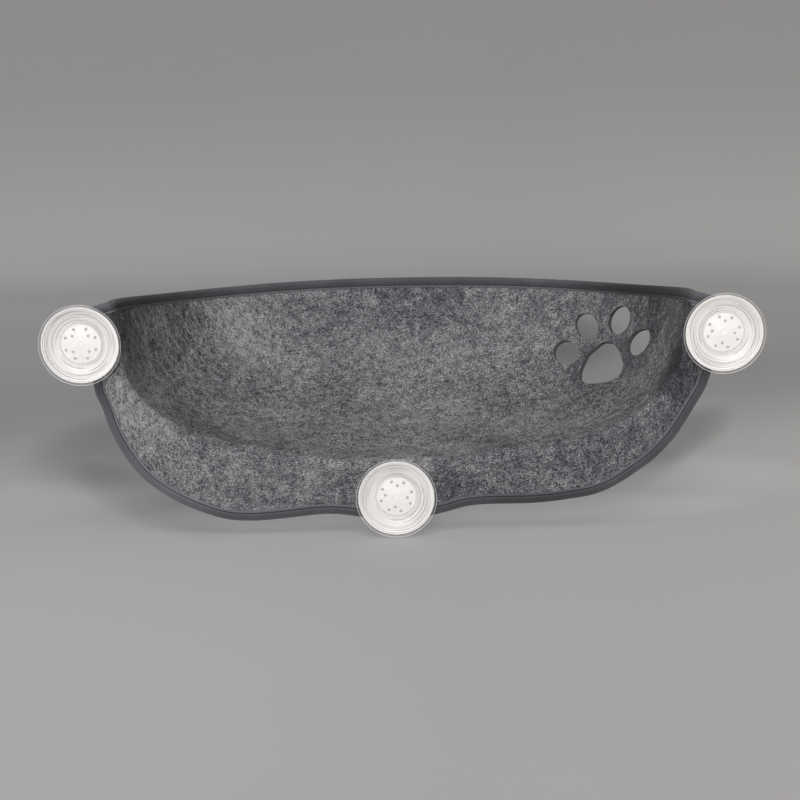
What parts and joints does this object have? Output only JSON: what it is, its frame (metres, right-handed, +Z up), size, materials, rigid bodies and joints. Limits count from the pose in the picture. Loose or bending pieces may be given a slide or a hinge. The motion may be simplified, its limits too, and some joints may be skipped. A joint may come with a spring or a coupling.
{
  "type": "cat window bed",
  "caption": "Moulded felt half-bowl bed that hangs on a window pane from three twist-lock suction cups.",
  "frame": {"origin": "on the window pane, midway between the centres of the two upper suction cups", "axes": "+Z up, +Y from the pane into the room, +X to the right for someone who looks through the pane into the room"},
  "size_m": [0.6587, 0.2411, 0.225],
  "materials": {
    "grey_felt": "moulded melange felt",
    "dark_tape": "woven binding tape",
    "clear_vinyl": "clear soft PVC",
    "white_plastic": "moulded ABS"
  },
  "bodies": {
    "bed": {"felt_shell": "grey_felt", "edge_binding": "dark_tape", "left_sucker": "clear_vinyl", "left_housing": "white_plastic", "left_washer": "white_plastic", "right_sucker": "clear_vinyl", "right_housing": "white_plastic", "right_washer": "white_plastic", "lower_sucker": "clear_vinyl", "lower_housing": "white_plastic", "lower_washer": "white_plastic"},
    "left_stud": {"left_stud": "white_plastic"},
    "left_knob": {"left_knob": "white_plastic"},
    "right_stud": {"right_stud": "white_plastic"},
    "right_knob": {"right_knob": "white_plastic"},
    "lower_stud": {"lower_stud": "white_plastic"},
    "lower_knob": {"lower_knob": "white_plastic"}
  },
  "joints": [
    {"name": "left_knob_turn", "type": "hinge", "parent": "bed", "child": "left_knob", "pos_m": [-0.292, 0.0247, 0], "axis": [0, -1, 0], "range_deg": [0, 360]},
    {"name": "left_stud_draw", "type": "slide", "parent": "bed", "child": "left_stud", "axis": [0, 1, 0], "range_m": [0, 0.003], "deforming": ["left_sucker"]},
    {"name": "right_knob_turn", "type": "hinge", "parent": "bed", "child": "right_knob", "pos_m": [0.292, 0.0247, 0], "axis": [0, -1, 0], "range_deg": [0, 360]},
    {"name": "right_stud_draw", "type": "slide", "parent": "bed", "child": "right_stud", "axis": [0, 1, 0], "range_m": [0, 0.003], "deforming": ["right_sucker"]},
    {"name": "lower_knob_turn", "type": "hinge", "parent": "bed", "child": "lower_knob", "pos_m": [-0.008, 0.0247, -0.15], "axis": [0, -1, 0], "range_deg": [0, 360]},
    {"name": "lower_stud_draw", "type": "slide", "parent": "bed", "child": "lower_stud", "axis": [0, 1, 0], "range_m": [0, 0.003], "deforming": ["lower_sucker"]}
  ],
  "couplings": [
    {"joint": "left_stud_draw", "follows": "left_knob_turn", "m_per_rad": 0.000477},
    {"joint": "right_stud_draw", "follows": "right_knob_turn", "m_per_rad": 0.000477},
    {"joint": "lower_stud_draw", "follows": "lower_knob_turn", "m_per_rad": 0.000477}
  ]
}
